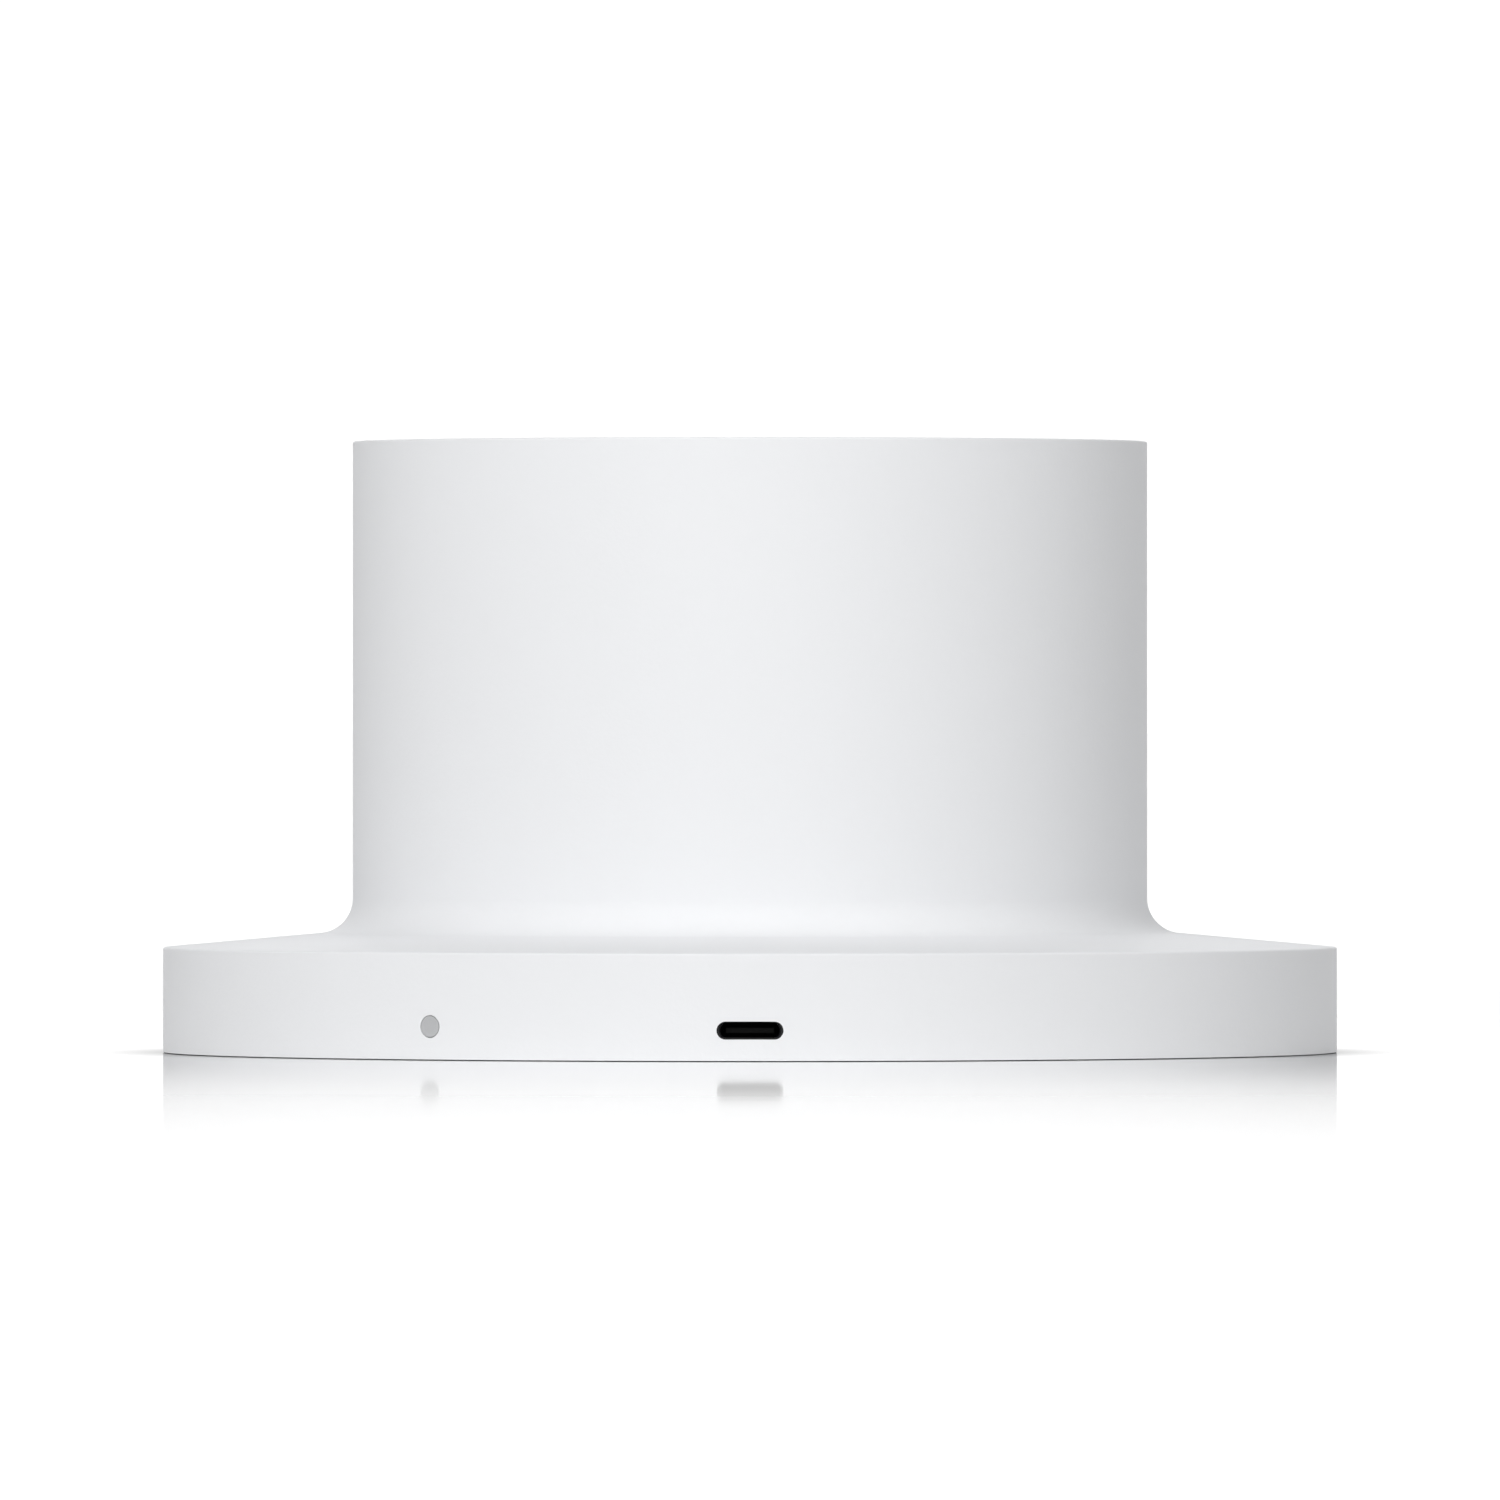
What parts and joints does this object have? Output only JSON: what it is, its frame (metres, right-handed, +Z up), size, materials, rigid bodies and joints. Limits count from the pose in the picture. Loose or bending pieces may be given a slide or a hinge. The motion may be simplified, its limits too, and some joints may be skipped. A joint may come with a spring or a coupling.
{
  "type": "streaming media player",
  "caption": "Round white tower on a wide shallow flange, open to a USB-C port in the rim beside a small round push button, with a flat roof and a rubber foot pad.",
  "frame": {"origin": "centre of the foot pad's underside, on the table", "axes": "+Z up along the tower's axis; the port looks along -Y; the button is to the left of the port, towards -X, when facing the port"},
  "size_m": [0.168, 0.168, 0.0874],
  "materials": {
    "shell_white": "fine moulded texture, matt",
    "base_white": "matt",
    "foot_rubber": "matt",
    "screw_steel": "satin",
    "board_green": "solder mask",
    "connector_steel": "bright",
    "gasket_black": "matt",
    "connector_black": "matt",
    "button_grey": "matt",
    "switch_black": "matt",
    "spring_steel": "bright",
    "chip_black": "matt",
    "can_steel": "satin",
    "inductor_grey": "matt",
    "capacitor_can": "satin",
    "pad_blue": "matt",
    "heat_sink_aluminium": "bead blasted",
    "module_board": "solder mask",
    "carrier_black": "matt",
    "antenna_copper": "satin",
    "lead_black": "matt"
  },
  "bodies": {
    "player": {"outer_shell": "shell_white", "base_plate": "base_white", "foot_pad": "foot_rubber", "base_screw_1": "screw_steel", "base_screw_2": "screw_steel", "base_screw_3": "screw_steel", "base_screw_4": "screw_steel", "main_board": "board_green", "board_screw_1": "screw_steel", "board_screw_2": "screw_steel", "board_screw_3": "screw_steel", "board_screw_4": "screw_steel", "usb_c_shell": "connector_steel", "port_gasket": "gasket_black", "usb_c_tongue": "connector_black", "switch_body": "switch_black", "switch_dome": "spring_steel", "soc": "chip_black", "dram_1": "chip_black", "dram_2": "chip_black", "flash_memory": "chip_black", "power_chip": "chip_black", "crystal": "can_steel", "inductor_1": "inductor_grey", "inductor_2": "inductor_grey", "inductor_3": "inductor_grey", "capacitor_1": "capacitor_can", "capacitor_2": "capacitor_can", "soc_shield": "can_steel", "thermal_pad": "pad_blue", "heat_sink": "heat_sink_aluminium", "heat_sink_screw_1": "screw_steel", "heat_sink_screw_2": "screw_steel", "heat_sink_screw_3": "screw_steel", "heat_sink_screw_4": "screw_steel", "wireless_board": "module_board", "wireless_can": "can_steel", "antenna_carrier": "carrier_black", "carrier_screw_1": "screw_steel", "carrier_screw_2": "screw_steel", "carrier_screw_3": "screw_steel", "antenna_1": "antenna_copper", "antenna_2": "antenna_copper", "antenna_3": "antenna_copper", "antenna_lead_1": "lead_black", "antenna_lead_2": "lead_black", "antenna_lead_3": "lead_black"},
    "button": {"button_cap": "button_grey", "switch_plunger": "switch_black"}
  },
  "joints": [
    {"name": "button_press", "type": "slide", "parent": "player", "child": "button", "axis": [0.5336, 0.8457, 0], "range_m": [0, 0.0003], "stiffness_N_per_m": 2500}
  ]
}
